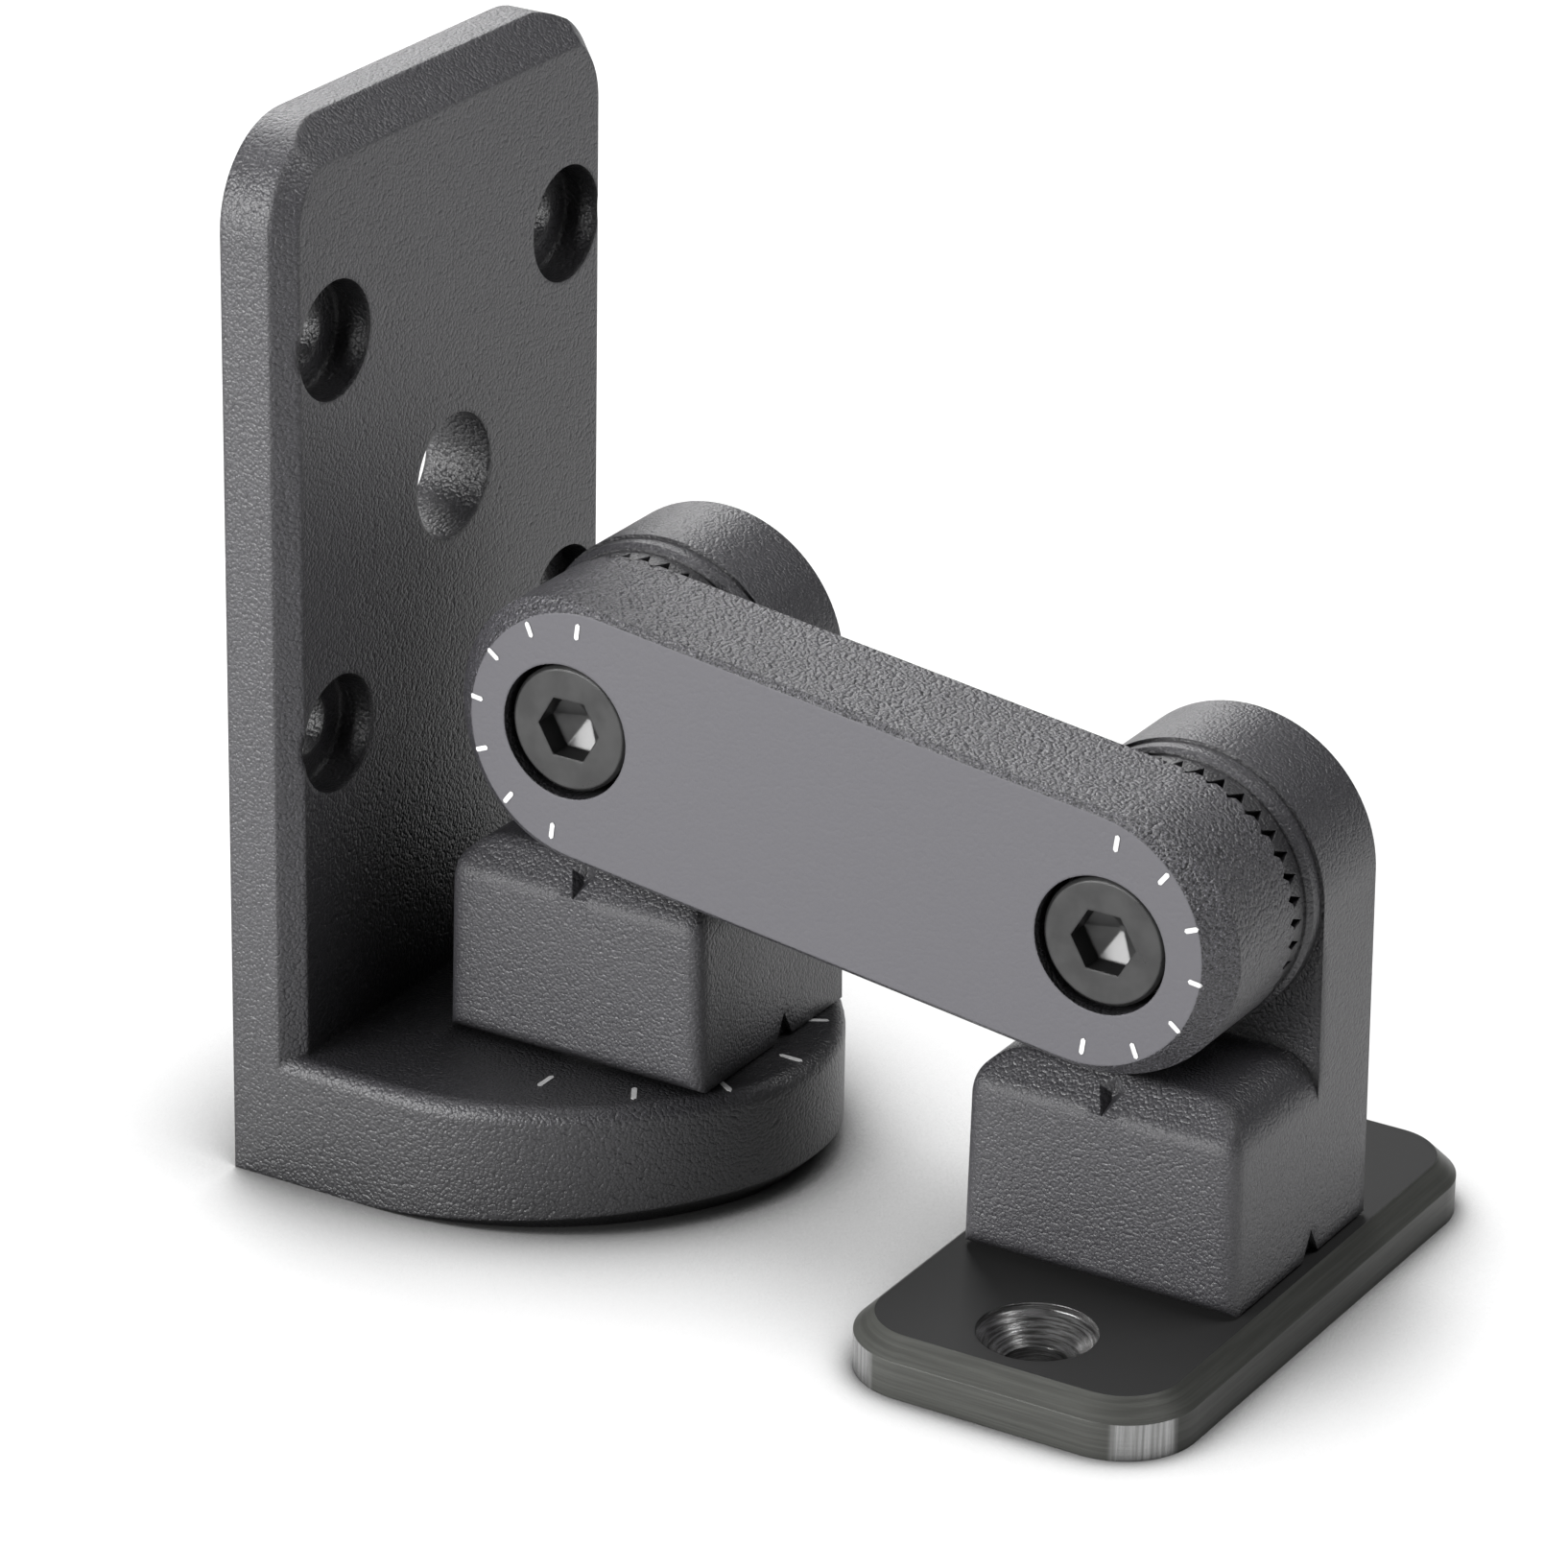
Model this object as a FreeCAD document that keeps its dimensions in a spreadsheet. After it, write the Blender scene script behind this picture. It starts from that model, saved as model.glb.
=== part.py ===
import FreeCAD, Part
import math
import os
import re
import Sketcher

V = FreeCAD.Vector
doc = FreeCAD.newDocument("wall_bracket")

# Driving dimensions in millimetres and degrees
SIZES = {
    # wall casting: upright plate
    "plate_width": 57,
    "plate_height": 109,
    "plate_thickness": 7.6,
    "plate_corner": 10,
    "side_bevel": 2.1,
    "top_bevel": 3.6,
    "hole_spacing": 41,
    "hole_centre_height": 66.8,
    "wall_hole": 6.5,
    "wall_recess": 12.1,
    "wall_recess_depth": 4,
    "centre_hole": 13,
    # wall casting: half-round shelf
    "shelf_thickness": 13.5,
    "nose_radius": 20.2,
    "flank_radius": 35,
    "rim_round": 1.6,
    "under_bevel": 3.2,
    "swivel_reach": 30.6,
    # yoke castings
    "yoke_width": 28.5,
    "foot_width": 29.8,
    "foot_length": 27.5,
    "axis_height": 36.2,
    "foot_top_drop": 15.2,
    "foot_shoulder": 5,
    "foot_bevel": 3.3,
    "foot_edge": 1.5,
    "ear_thickness": 10.8,
    "collar_radius": 13.9,
    "collar_height": 2.1,
    "collar_edge": 0.5,
    "ring_radius": 13.2,
    "pointer_half": 1.4,
    "pointer_rise": 1.3,
    "pointer_fall": 3.1,
    "pointer_shift": 0.7,
    "pointer_depth": 0.9,
    "notch_width": 3.2,
    "notch_height": 2.8,
    "notch_depth": 0.8,
    "notch_offset": 2.4,
    # face teeth
    "tooth_count": 36,
    "ear_tooth_depth": 1.9,
    "ear_tooth_gap": 1.6,
    "arm_tooth_depth": 0.8,
    "arm_tooth_gap": 1.2,
    "tooth_inner": 9,
    "tooth_overcut": 0.2,
    "tip_clearance": 0.15,
    "ear_well": 3,
    "arm_well": 1.3,
    # arm
    "arm_centres": 60,
    "arm_radius": 13.5,
    "arm_thickness": 13.5,
    "arm_front": 15.35,
    "arm_bevel": 0.6,
    "arm_bevel_shift": 2.1,
    "arm_drop": 7.7,
    "head_recess": 14,
    "head_seat_gap": 0.05,
    # speaker plate
    "pad_length": 69,
    "pad_width": 36,
    "pad_thickness": 5.8,
    "pad_corner": 8,
    "pad_bevel": 2,
    "pad_hole_spacing": 50,
    "pad_hole": 6.5,
    "pad_sink": 11.8,
    "pad_sink_rim": 0.7,
    # fasteners
    "thread": 8,
    "bore_clearance": 0.1,
    "thread_play": 0.02,
    "tapped_depth": 18,
    "head_diameter": 13,
    "head_height": 4.6,
    "head_set_back": 0.7,
    "head_edge": 0.35,
    "socket_across": 6,
    "socket_depth": 2.6,
    "socket_point": 1.2,
    "socket_slope": 66,
    "nut_across": 13,
    "nut_height": 6.3,
    "nut_play": 0.1,
    "washer_outer": 16,
    "washer_height": 1.6,
    "lock_outer": 14.4,
    "lock_height": 2,
    "lock_gap": 1.4,
    "under_recess": 17,
    "under_recess_depth": 8.6,
    "swivel_grip": 16,
    "sink_head": 16,
    "sink_head_height": 4,
    "sink_edge": 0.3,
    "sink_rim": 0.4,
    "sink_set_back": 0.15,
    "sink_grip": 14,
    "disc_outer": 24,
    "disc_height": 0.8,
    "disc_seat": 0.5,
    "disc_play": 0.1,
    "spring_wire": 1.1,
    "spring_radius": 7,
    "spring_turns": 2.25,
    "spring_play": 0.05,
}

sheet = doc.addObject("Spreadsheet::Sheet", "Sizes")
for row, (name, size) in enumerate(SIZES.items(), start=1):
    sheet.set("A%d" % row, name)
    sheet.set("B%d" % row, str(size))
    sheet.setAlias("B%d" % row, name)
doc.recompute()


def value(text):
    """Number that a formula of sizes gives."""
    result = sheet.evalExpression(spell(text))
    return float(getattr(result, "Value", result))


def spell(text):
    """Turn bare size names in a formula into references to the sheet."""
    return re.sub("[a-z_]+", lambda word: "<<Sizes>>." + word[0] if word[0] in SIZES else word[0], str(text))


def bind(item, prop, text):
    """Tie one property of an object to a formula of sizes."""
    item.setExpression(prop, spell(text))


def new_body(label):
    body = doc.addObject("PartDesign::Body", label)
    body.Label = label
    return body


def origin_item(body, role):
    return [item for item in body.Origin.OriginFeatures if item.Role == role][0]


def new_sketch(body, name, role, lift="0"):
    """Sketch on one of the body's own planes, lifted along its normal."""
    sketch = body.newObject("Sketcher::SketchObject", name)
    sketch.AttachmentSupport = [(origin_item(body, role), "")]
    sketch.MapMode = "FlatFace"
    bind(sketch, "AttachmentOffset.Base.z", lift)
    return sketch


def tie(sketch, kind, geo, point, text):
    """Hold one coordinate of a sketch point at a formula of sizes."""
    number = value(text)
    if abs(number) < 1e-9 and str(text) == "0":
        axis = -2 if kind == "DistanceX" else -1
        sketch.addConstraint(Sketcher.Constraint("PointOnObject", geo, point, axis))
        return
    index = sketch.addConstraint(Sketcher.Constraint(kind, -1, 1, geo, point, number))
    sketch.setExpression("Constraints[%d]" % index, spell(text))


def place(sketch, geo, point, spot):
    tie(sketch, "DistanceX", geo, point, spot[0])
    tie(sketch, "DistanceY", geo, point, spot[1])


def at(spot):
    return V(value(spot[0]), value(spot[1]), 0)


def polygon(sketch, spots):
    """Closed outline of straight lines through spots given as formulas."""
    corners = [at(spot) for spot in spots]
    count = len(corners)
    first = sketch.GeometryCount
    for i in range(count):
        sketch.addGeometry(Part.LineSegment(corners[i], corners[(i + 1) % count]), False)
    for i in range(count):
        after = first + (i + 1) % count
        sketch.addConstraint(Sketcher.Constraint("Coincident", first + i, 2, after, 1))
    for i in range(count):
        place(sketch, first + i, 1, spots[i])


def disc(sketch, centre, radius):
    """Circle at a spot, with its radius as a formula."""
    geo = sketch.addGeometry(Part.Circle(at(centre), V(0, 0, 1), value(radius)), False)
    place(sketch, geo, 3, centre)
    index = sketch.addConstraint(Sketcher.Constraint("Radius", geo, value(radius)))
    sketch.setExpression("Constraints[%d]" % index, spell(radius))


def hexagon(sketch, across):
    """Regular hexagon about the origin, with a flat across size as a formula."""
    flat = value(across)
    corners = [V(flat / math.sqrt(3) * math.cos(math.radians(60 * i)),
                 flat / math.sqrt(3) * math.sin(math.radians(60 * i)), 0) for i in range(6)]
    for i in range(6):
        sketch.addGeometry(Part.LineSegment(corners[i], corners[(i + 1) % 6]), False)
    guide = sketch.addGeometry(Part.Circle(V(0, 0, 0), V(0, 0, 1), flat / math.sqrt(3)), True)
    for i in range(6):
        sketch.addConstraint(Sketcher.Constraint("Coincident", i, 2, (i + 1) % 6, 1))
        sketch.addConstraint(Sketcher.Constraint("PointOnObject", i, 1, guide))
    for i in range(5):
        sketch.addConstraint(Sketcher.Constraint("Equal", i, i + 1))
    sketch.addConstraint(Sketcher.Constraint("Coincident", guide, 3, -1, 1))
    sketch.addConstraint(Sketcher.Constraint("PointOnObject", 0, 1, -1))
    index = sketch.addConstraint(Sketcher.Constraint("Radius", guide, flat / math.sqrt(3)))
    sketch.setExpression("Constraints[%d]" % index, spell(across) + " / sqrt(3)")


def slot_arch(sketch, half_width, half_foot, low, high):
    """Upright outline with a wider straight foot at low and a half-round top about high."""
    right, wide, base, top = (value(text) for text in (half_width, half_foot, low, high))
    sketch.addGeometry(Part.LineSegment(V(-right, top, 0), V(-wide, base, 0)), False)
    sketch.addGeometry(Part.LineSegment(V(-wide, base, 0), V(wide, base, 0)), False)
    sketch.addGeometry(Part.LineSegment(V(wide, base, 0), V(right, top, 0)), False)
    circle = Part.Circle(V(0, top, 0), V(0, 0, 1), right)
    sketch.addGeometry(Part.ArcOfCircle(circle, 0, math.pi), False)
    for pair in ((0, 2, 1, 1), (1, 2, 2, 1), (2, 2, 3, 1), (3, 2, 0, 1)):
        sketch.addConstraint(Sketcher.Constraint("Coincident", *pair))
    place(sketch, 1, 1, ("- " + half_foot, low))
    place(sketch, 1, 2, (half_foot, low))
    place(sketch, 0, 1, ("- " + half_width, high))
    place(sketch, 2, 2, (half_width, high))
    tie(sketch, "DistanceY", 3, 3, high)


def pad(body, sketch, length, back=False, taper=None):
    item = body.newObject("PartDesign::Pad", sketch.Name + "_pad")
    item.Profile = sketch
    bind(item, "Length", length)
    item.Reversed = back
    if taper is not None:
        item.TaperAngle = taper
    sketch.Visibility = False
    return item


def pocket(body, sketch, depth, back=False):
    item = body.newObject("PartDesign::Pocket", sketch.Name + "_cut")
    item.Profile = sketch
    bind(item, "Length", depth)
    item.Reversed = back
    return item


def revolve(body, sketch, role):
    item = body.newObject("PartDesign::Revolution", sketch.Name + "_turn")
    item.Profile = sketch
    item.ReferenceAxis = (origin_item(body, role), [""])
    item.Angle = 360
    return item


def edges(feature, test):
    """Names of the edges whose middle and ends pass a test."""
    doc.recompute()
    names = []
    for number, edge in enumerate(feature.Shape.Edges, start=1):
        middle = edge.valueAt((edge.FirstParameter + edge.LastParameter) / 2)
        if test([middle] + [vertex.Point for vertex in edge.Vertexes]):
            names.append("Edge%d" % number)
    return names


def dress(body, kind, feature, names, amount):
    """Fillet or chamfer chosen edges by a formula."""
    item = body.newObject("PartDesign::" + kind, feature.Name + "_" + kind.lower())
    item.Base = (feature, names)
    bind(item, "Radius" if kind == "Fillet" else "Size", amount)
    return item


def near(a, b):
    return abs(a - b) < 1e-4


def common(label, body, envelope):
    """Keep only what two solids share."""
    item = doc.addObject("Part::Common", label)
    item.Label = label
    item.Base = body
    item.Tool = envelope
    return item


# Heights are measured from the middle of the wall screw pattern
FLOOR = "- hole_centre_height"
AXIS_Z = FLOOR + " + shelf_thickness + disc_height - disc_seat + axis_height"


# Castings
def make_wall_plate():
    """L casting: bevelled upright plate and half-round shelf with the swivel dial."""
    body = new_body("wall_casting")
    upright = new_sketch(body, "upright", "XZ_Plane")
    half = "plate_width / 2"
    polygon(upright, [("- " + half, "0"), (half, "0"), (half, "plate_height"), ("- " + half, "plate_height")])
    plate = pad(body, upright, "plate_thickness")
    height = value("plate_height")
    corners = edges(plate, lambda ends: all(near(p.z, height) and abs(p.x) > 1 for p in ends)
                    and near(ends[0].x, ends[1].x))
    plate = dress(body, "Fillet", plate, corners, "plate_corner")

    wedge = new_sketch(body, "top_wedge", "YZ_Plane", "- " + half)
    polygon(wedge, [("- plate_thickness", "plate_height - top_bevel"),
                    ("- plate_thickness + top_bevel", "plate_height"),
                    ("- plate_thickness", "plate_height")])
    face = -value("plate_thickness")
    plate = dress(body, "Chamfer", plate, edges(
        plate, lambda ends: all(near(p.y, face) for p in ends) and ends[0].z > 1), "side_bevel")
    plate = pocket(body, wedge, "plate_width", back=True)

    shelf = new_sketch(body, "shelf", "XY_Plane")
    nose(shelf)
    shelf = pad(body, shelf, "shelf_thickness")
    top = value("shelf_thickness")
    rim = edges(shelf, lambda ends: all(near(p.z, top) for p in ends)
                and (min(p.y for p in ends) < face - 1))
    rim = [name for name in rim if not straight_across(shelf.Shape, name)]
    rim = dress(body, "Fillet", shelf, rim, "rim_round")

    recesses = new_sketch(body, "wall_recesses", "XZ_Plane", "plate_thickness")
    holes = new_sketch(body, "wall_holes", "XZ_Plane")
    for x in ("- hole_spacing / 2", "hole_spacing / 2"):
        for z in ("hole_centre_height - hole_spacing / 2", "hole_centre_height + hole_spacing / 2"):
            disc(recesses, (x, z), "wall_recess / 2")
            disc(holes, (x, z), "wall_hole / 2")
    disc(holes, ("0", "hole_centre_height"), "centre_hole / 2")
    pocket(body, recesses, "wall_recess_depth")
    pocket(body, holes, "plate_thickness", back=True)

    swivel = new_sketch(body, "swivel_bore", "XY_Plane")
    disc(swivel, ("0", "- swivel_reach"), "thread / 2 + bore_clearance")
    pocket(body, swivel, "shelf_thickness", back=True)
    under = new_sketch(body, "swivel_recess", "XY_Plane")
    disc(under, ("0", "- swivel_reach"), "under_recess / 2")
    body.Tip = pocket(body, under, "under_recess_depth", back=True)

    keep = new_body("under_envelope")
    outline = new_sketch(keep, "under_outline", "XY_Plane")
    nose(outline, "under_bevel")
    pad(keep, outline, "plate_height", taper=45)
    item = common("wall_plate", body, keep)
    bind(item, "Placement.Base.z", FLOOR)
    return item


def straight_across(shape, name):
    """True for an edge that runs along X from end to end."""
    edge = shape.Edges[int(name[4:]) - 1]
    ends = [vertex.Point for vertex in edge.Vertexes]
    return near(ends[0].y, ends[-1].y) and len(ends) == 2 and abs(ends[0].x - ends[-1].x) > 1 \
        and edge.Curve.TypeId == "Part::GeomLine"


def nose(sketch, shift="0"):
    """Shelf outline: square at the wall, then two flanks that run into a round front."""
    half = "plate_width / 2"
    spare = "( flank_radius - nose_radius )"
    rise = "sqrt(" + spare + " ^ 2 - ( flank_radius - " + half + " ) ^ 2)"
    start = "- swivel_reach + " + rise + " + " + shift
    middle = "- swivel_reach + " + shift
    meet = ("nose_radius * ( flank_radius - " + half + " ) / " + spare,
            middle + " - nose_radius * " + rise + " / " + spare)
    wide, side, front, turn, x = (value(text) for text in (half, "flank_radius", "nose_radius", start, meet[0]))
    lean = math.acos(x / front)
    sketch.addGeometry(Part.LineSegment(V(wide, turn, 0), V(wide, 0, 0)), False)
    sketch.addGeometry(Part.LineSegment(V(wide, 0, 0), V(-wide, 0, 0)), False)
    sketch.addGeometry(Part.LineSegment(V(-wide, 0, 0), V(-wide, turn, 0)), False)
    left = Part.Circle(V(side - wide, turn, 0), V(0, 0, 1), side)
    round_ = Part.Circle(V(0, value(middle), 0), V(0, 0, 1), front)
    right = Part.Circle(V(wide - side, turn, 0), V(0, 0, 1), side)
    sketch.addGeometry(Part.ArcOfCircle(left, math.pi, math.pi + lean), False)
    sketch.addGeometry(Part.ArcOfCircle(round_, math.pi + lean, math.pi * 2 - lean), False)
    sketch.addGeometry(Part.ArcOfCircle(right, math.pi * 2 - lean, math.pi * 2), False)
    for line in range(6):
        sketch.addConstraint(Sketcher.Constraint("Coincident", line, 2, (line + 1) % 6, 1))
    place(sketch, 1, 1, (half, "0"))
    place(sketch, 1, 2, ("- " + half, "0"))
    place(sketch, 0, 1, (half, start))
    place(sketch, 2, 2, ("- " + half, start))
    place(sketch, 4, 1, ("- " + meet[0], meet[1]))
    place(sketch, 4, 2, meet)
    tie(sketch, "DistanceY", 4, 3, middle)
    for flank in (3, 5):
        tie(sketch, "DistanceY", flank, 3, start)


def new_ring_sketch(body, name, lift, along="0", up="0"):
    """Sketch square to the tilt axis, with its origin on that axis."""
    sketch = new_sketch(body, name, "YZ_Plane", lift)
    bind(sketch, "AttachmentOffset.Base.x", along)
    bind(sketch, "AttachmentOffset.Base.y", up)
    return sketch


def cut_teeth(body, name, face, inward, along, up, reach, axis_sketch, kind):
    """Radial vee grooves, all round the tilt axis, in a face square to it."""
    groove = new_sketch(body, name, "XY_Plane", up + " + tooth_inner - tooth_overcut")
    bind(groove, "AttachmentOffset.Base.y", along)
    gap, depth = kind + "_tooth_gap", kind + "_tooth_depth"
    spread = gap + " / 2 * ( 1 + tooth_overcut / " + depth + " )"
    outer = face + " - " + inward + " * tooth_overcut"
    inner = face + " + " + inward + " * " + depth
    polygon(groove, [(outer, "- " + spread), (outer, spread), (inner, "0")])
    cut = pocket(body, groove, reach + " - tooth_inner + tooth_overcut * 2", back=True)
    ring = body.newObject("PartDesign::PolarPattern", name + "_round")
    ring.Originals = [cut]
    ring.Axis = (axis_sketch, ["N_Axis"])
    ring.Angle = 360
    bind(ring, "Occurrences", "tooth_count")
    body.Tip = ring
    return ring


TIP = "- arm_front + arm_thickness + tip_clearance"
EAR_FACE = "foot_length / 2 - ear_thickness"
FOOT_TOP = "axis_height - foot_top_drop"


def make_yoke(label, rise, reach):
    """Cast foot with a round-topped ear that carries a collar and a ring of face teeth."""
    body = new_body(label)
    foot = new_sketch(body, label + "_foot", "YZ_Plane", "- foot_length / 2")
    half, base = "yoke_width / 2", "foot_width / 2"
    shoulder = "( foot_width - ( foot_width - yoke_width ) * ( " + FOOT_TOP + " ) / axis_height ) / 2"
    polygon(foot, [("- " + base, "0"), (base, "0"), (shoulder, FOOT_TOP), ("- " + shoulder, FOOT_TOP)])
    block = pad(body, foot, "foot_length")
    top = value(FOOT_TOP)
    block = dress(body, "Fillet", block, edges(
        block, lambda ends: all(near(p.z, top) for p in ends) and near(ends[0].x, 0)), "foot_shoulder")
    front = value("- foot_length / 2")
    block = dress(body, "Fillet", block, edges(
        block, lambda ends: all(near(p.x, front) for p in ends)), "foot_edge")
    slope = new_sketch(body, label + "_slope", "XZ_Plane", "- " + base)
    polygon(slope, [("- foot_length / 2", FOOT_TOP + " - foot_bevel"),
                    ("- foot_length / 2 + foot_bevel", FOOT_TOP), ("- foot_length / 2", FOOT_TOP)])
    pocket(body, slope, "foot_width", back=True)

    ear = new_sketch(body, label + "_ear", "YZ_Plane", EAR_FACE)
    slot_arch(ear, half, base, "0", "axis_height")
    pad(body, ear, "ear_thickness")
    collar = new_ring_sketch(body, label + "_collar", EAR_FACE, "0", "axis_height")
    disc(collar, ("0", "0"), "collar_radius")
    rim = pad(body, collar, "collar_height", back=True)
    step = value(EAR_FACE + " - collar_height")
    dress(body, "Chamfer", rim, edges(rim, lambda ends: all(near(p.x, step) for p in ends)), "collar_edge")
    ring = new_ring_sketch(body, label + "_ring", EAR_FACE, "0", "axis_height")
    disc(ring, ("0", "0"), "ring_radius")
    pad(body, ring, EAR_FACE + " - ( " + TIP + " )", back=True)
    cut_teeth(body, label + "_teeth", TIP, "1", "0", "axis_height", "ring_radius", ring, "ear")

    well = new_ring_sketch(body, label + "_well", TIP, "0", "axis_height")
    disc(well, ("0", "0"), "tooth_inner")
    pocket(body, well, "ear_well", back=True)
    bore = new_ring_sketch(body, label + "_bore", "foot_length / 2", "0", "axis_height")
    disc(bore, ("0", "0"), "thread / 2 + bore_clearance")
    pocket(body, bore, "foot_length")
    nut = new_ring_sketch(body, label + "_nut_seat", "foot_length / 2", "0", "axis_height")
    hexagon(nut, "( nut_across + nut_play * 2 )")
    pocket(body, nut, "nut_height + nut_play")

    tapped = new_sketch(body, label + "_tapped_hole", "XY_Plane")
    disc(tapped, ("0", "0"), "thread / 2 + thread_play")
    pocket(body, tapped, "tapped_depth", back=True)
    seat = new_sketch(body, label + "_disc_seat", "XY_Plane")
    disc(seat, ("0", "0"), "disc_outer / 2 + disc_play")
    pocket(body, seat, "disc_seat", back=True)

    pointer = new_sketch(body, label + "_pointer", "YZ_Plane")
    turn = FreeCAD.Rotation(V(1, 0, 0), 225)
    pointer.AttachmentOffset = FreeCAD.Placement(V(0, 0, 0), turn)
    bind(pointer, "AttachmentOffset.Base.y", FOOT_TOP + " - foot_bevel / 2")
    bind(pointer, "AttachmentOffset.Base.z", "- foot_length / 2 + foot_bevel / 2")
    polygon(pointer, [("0", "- pointer_shift - pointer_rise"), ("pointer_half", "- pointer_shift"),
                      ("0", "pointer_fall - pointer_shift"), ("- pointer_half", "- pointer_shift")])
    cut = pocket(body, pointer, "pointer_depth")
    cut.TaperAngle = -45
    notch = new_sketch(body, label + "_notch", "XZ_Plane", base)
    polygon(notch, [("notch_offset - notch_width / 2", "0"), ("notch_offset + notch_width / 2", "0"),
                    ("notch_offset", "notch_height")])
    body.Tip = pocket(body, notch, "notch_depth")

    bind(body, "Placement.Base.y", reach)
    bind(body, "Placement.Base.z", rise)
    return body


def stadium(sketch, near_end, far_end, radius):
    """Long outline with a half-round at each end, along the first sketch axis."""
    right, left, round_ = (value(text) for text in (near_end, far_end, radius))
    sketch.addGeometry(Part.LineSegment(V(right, round_, 0), V(left, round_, 0)), False)
    sketch.addGeometry(Part.LineSegment(V(left, -round_, 0), V(right, -round_, 0)), False)
    far = Part.Circle(V(left, 0, 0), V(0, 0, 1), round_)
    close = Part.Circle(V(right, 0, 0), V(0, 0, 1), round_)
    sketch.addGeometry(Part.ArcOfCircle(far, math.pi / 2, math.pi * 3 / 2), False)
    sketch.addGeometry(Part.ArcOfCircle(close, -math.pi / 2, math.pi / 2), False)
    for pair in ((0, 2, 2, 1), (2, 2, 1, 1), (1, 2, 3, 1), (3, 2, 0, 1)):
        sketch.addConstraint(Sketcher.Constraint("Coincident", *pair))
    place(sketch, 0, 1, (near_end, radius))
    place(sketch, 0, 2, (far_end, radius))
    place(sketch, 1, 1, (far_end, "- ( " + radius + " )"))
    place(sketch, 1, 2, (near_end, "- ( " + radius + " )"))
    tie(sketch, "DistanceX", 2, 3, far_end)
    tie(sketch, "DistanceX", 3, 3, near_end)


def tilt_with_arm(item):
    """Lay a solid that is drawn about the wall tilt axis along the sloping arm."""
    item.Placement = FreeCAD.Placement(V(0, 0, 0), FreeCAD.Rotation(V(1, 0, 0), 1))
    bind(item, "Placement.Base.y", "- swivel_reach")
    bind(item, "Placement.Base.z", AXIS_Z)
    bind(item, "Placement.Rotation.Angle", "asin(arm_drop / arm_centres)")


def make_arm():
    """Thick link with a toothed face, a spring well and a screw recess at each end."""
    body = new_body("arm_blank")
    outline = new_sketch(body, "arm_outline", "YZ_Plane", "- arm_front")
    stadium(outline, "0", "- arm_centres", "arm_radius")
    pad(body, outline, "arm_thickness")
    rear = "- arm_front + arm_thickness"
    for name, along in (("near", "0"), ("far", "- arm_centres")):
        recess = new_ring_sketch(body, name + "_recess", "- arm_front", along)
        disc(recess, ("0", "0"), "head_recess / 2")
        pocket(body, recess, "head_set_back + head_height + head_seat_gap", back=True)
        bore = new_ring_sketch(body, name + "_bore", "- arm_front", along)
        disc(bore, ("0", "0"), "thread / 2 + bore_clearance")
        pocket(body, bore, "arm_thickness", back=True)
        well = new_ring_sketch(body, name + "_well", rear, along)
        disc(well, ("0", "0"), "tooth_inner")
        pocket(body, well, "arm_well")
        cut_teeth(body, name + "_teeth", rear, "( - 1 )", along, "0", "arm_radius", well, "arm")

    keep = new_body("arm_envelope")
    face = new_sketch(keep, "arm_face", "YZ_Plane", "- arm_front")
    stadium(face, "- arm_bevel_shift", "- arm_centres + arm_bevel_shift", "arm_radius - arm_bevel")
    pad(keep, face, "arm_thickness", taper=45)
    item = common("arm", body, keep)
    tilt_with_arm(item)
    return item


def turned(body, name, role, profile):
    """Profile spun about an axis of the body; profile spots run along and out from that axis."""
    sketch = new_sketch(body, name, "XZ_Plane")
    if role == "Z_Axis":
        profile = [(out, along) for along, out in profile]
    polygon(sketch, profile)
    return revolve(body, sketch, role)


def make_speaker_plate():
    """Machined pad with bevelled top edges, two countersunk holes and a sunk swivel hole."""
    body = new_body("speaker_plate")
    outline = new_sketch(body, "pad_outline", "XY_Plane")
    half_x, half_y = "pad_length / 2", "pad_width / 2"
    polygon(outline, [("- " + half_x, "- " + half_y), (half_x, "- " + half_y),
                      (half_x, half_y), ("- " + half_x, half_y)])
    block = pad(body, outline, "pad_thickness")
    thick = value("pad_thickness")
    block = dress(body, "Fillet", block, edges(
        block, lambda ends: near(ends[0].z, thick / 2)), "pad_corner")
    block = dress(body, "Chamfer", block, edges(
        block, lambda ends: all(near(p.z, thick) for p in ends)), "pad_bevel")
    slope = "( pad_sink - pad_hole ) / 2"
    for name, along in (("front", "- pad_hole_spacing / 2"), ("rear", "pad_hole_spacing / 2")):
        sketch = new_sketch(body, name + "_sink", "XZ_Plane")
        bind(sketch, "AttachmentOffset.Base.x", along)
        polygon(sketch, [("0", "0"), ("pad_hole / 2", "0"),
                         ("pad_hole / 2", "pad_thickness - pad_sink_rim - " + slope),
                         ("pad_sink / 2", "pad_thickness - pad_sink_rim"),
                         ("pad_sink / 2", "pad_thickness"), ("0", "pad_thickness")])
        cut = body.newObject("PartDesign::Groove", name + "_hole")
        cut.Profile = sketch
        cut.ReferenceAxis = (sketch, ["V_Axis"])
        cut.Angle = 360
    sketch = new_sketch(body, "swivel_sink", "XZ_Plane")
    bore = "thread / 2 + bore_clearance"
    wide = "sink_head / 2 + bore_clearance"
    polygon(sketch, [("0", "0"), (wide, "0"), (wide, "sink_rim"), (bore, "sink_rim + sink_head_height"),
                     (bore, "pad_thickness"), ("0", "pad_thickness")])
    cut = body.newObject("PartDesign::Groove", "swivel_sink_cut")
    cut.Profile = sketch
    cut.ReferenceAxis = (sketch, ["V_Axis"])
    cut.Angle = 360
    body.Tip = cut
    bind(body, "Placement.Base.y", SPEAKER_Y)
    bind(body, "Placement.Base.z", FLOOR)
    return body


SPEAKER_Y = "- swivel_reach - sqrt(arm_centres ^ 2 - arm_drop ^ 2)"
SPEAKER_Z = AXIS_Z + " - arm_drop"


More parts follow.
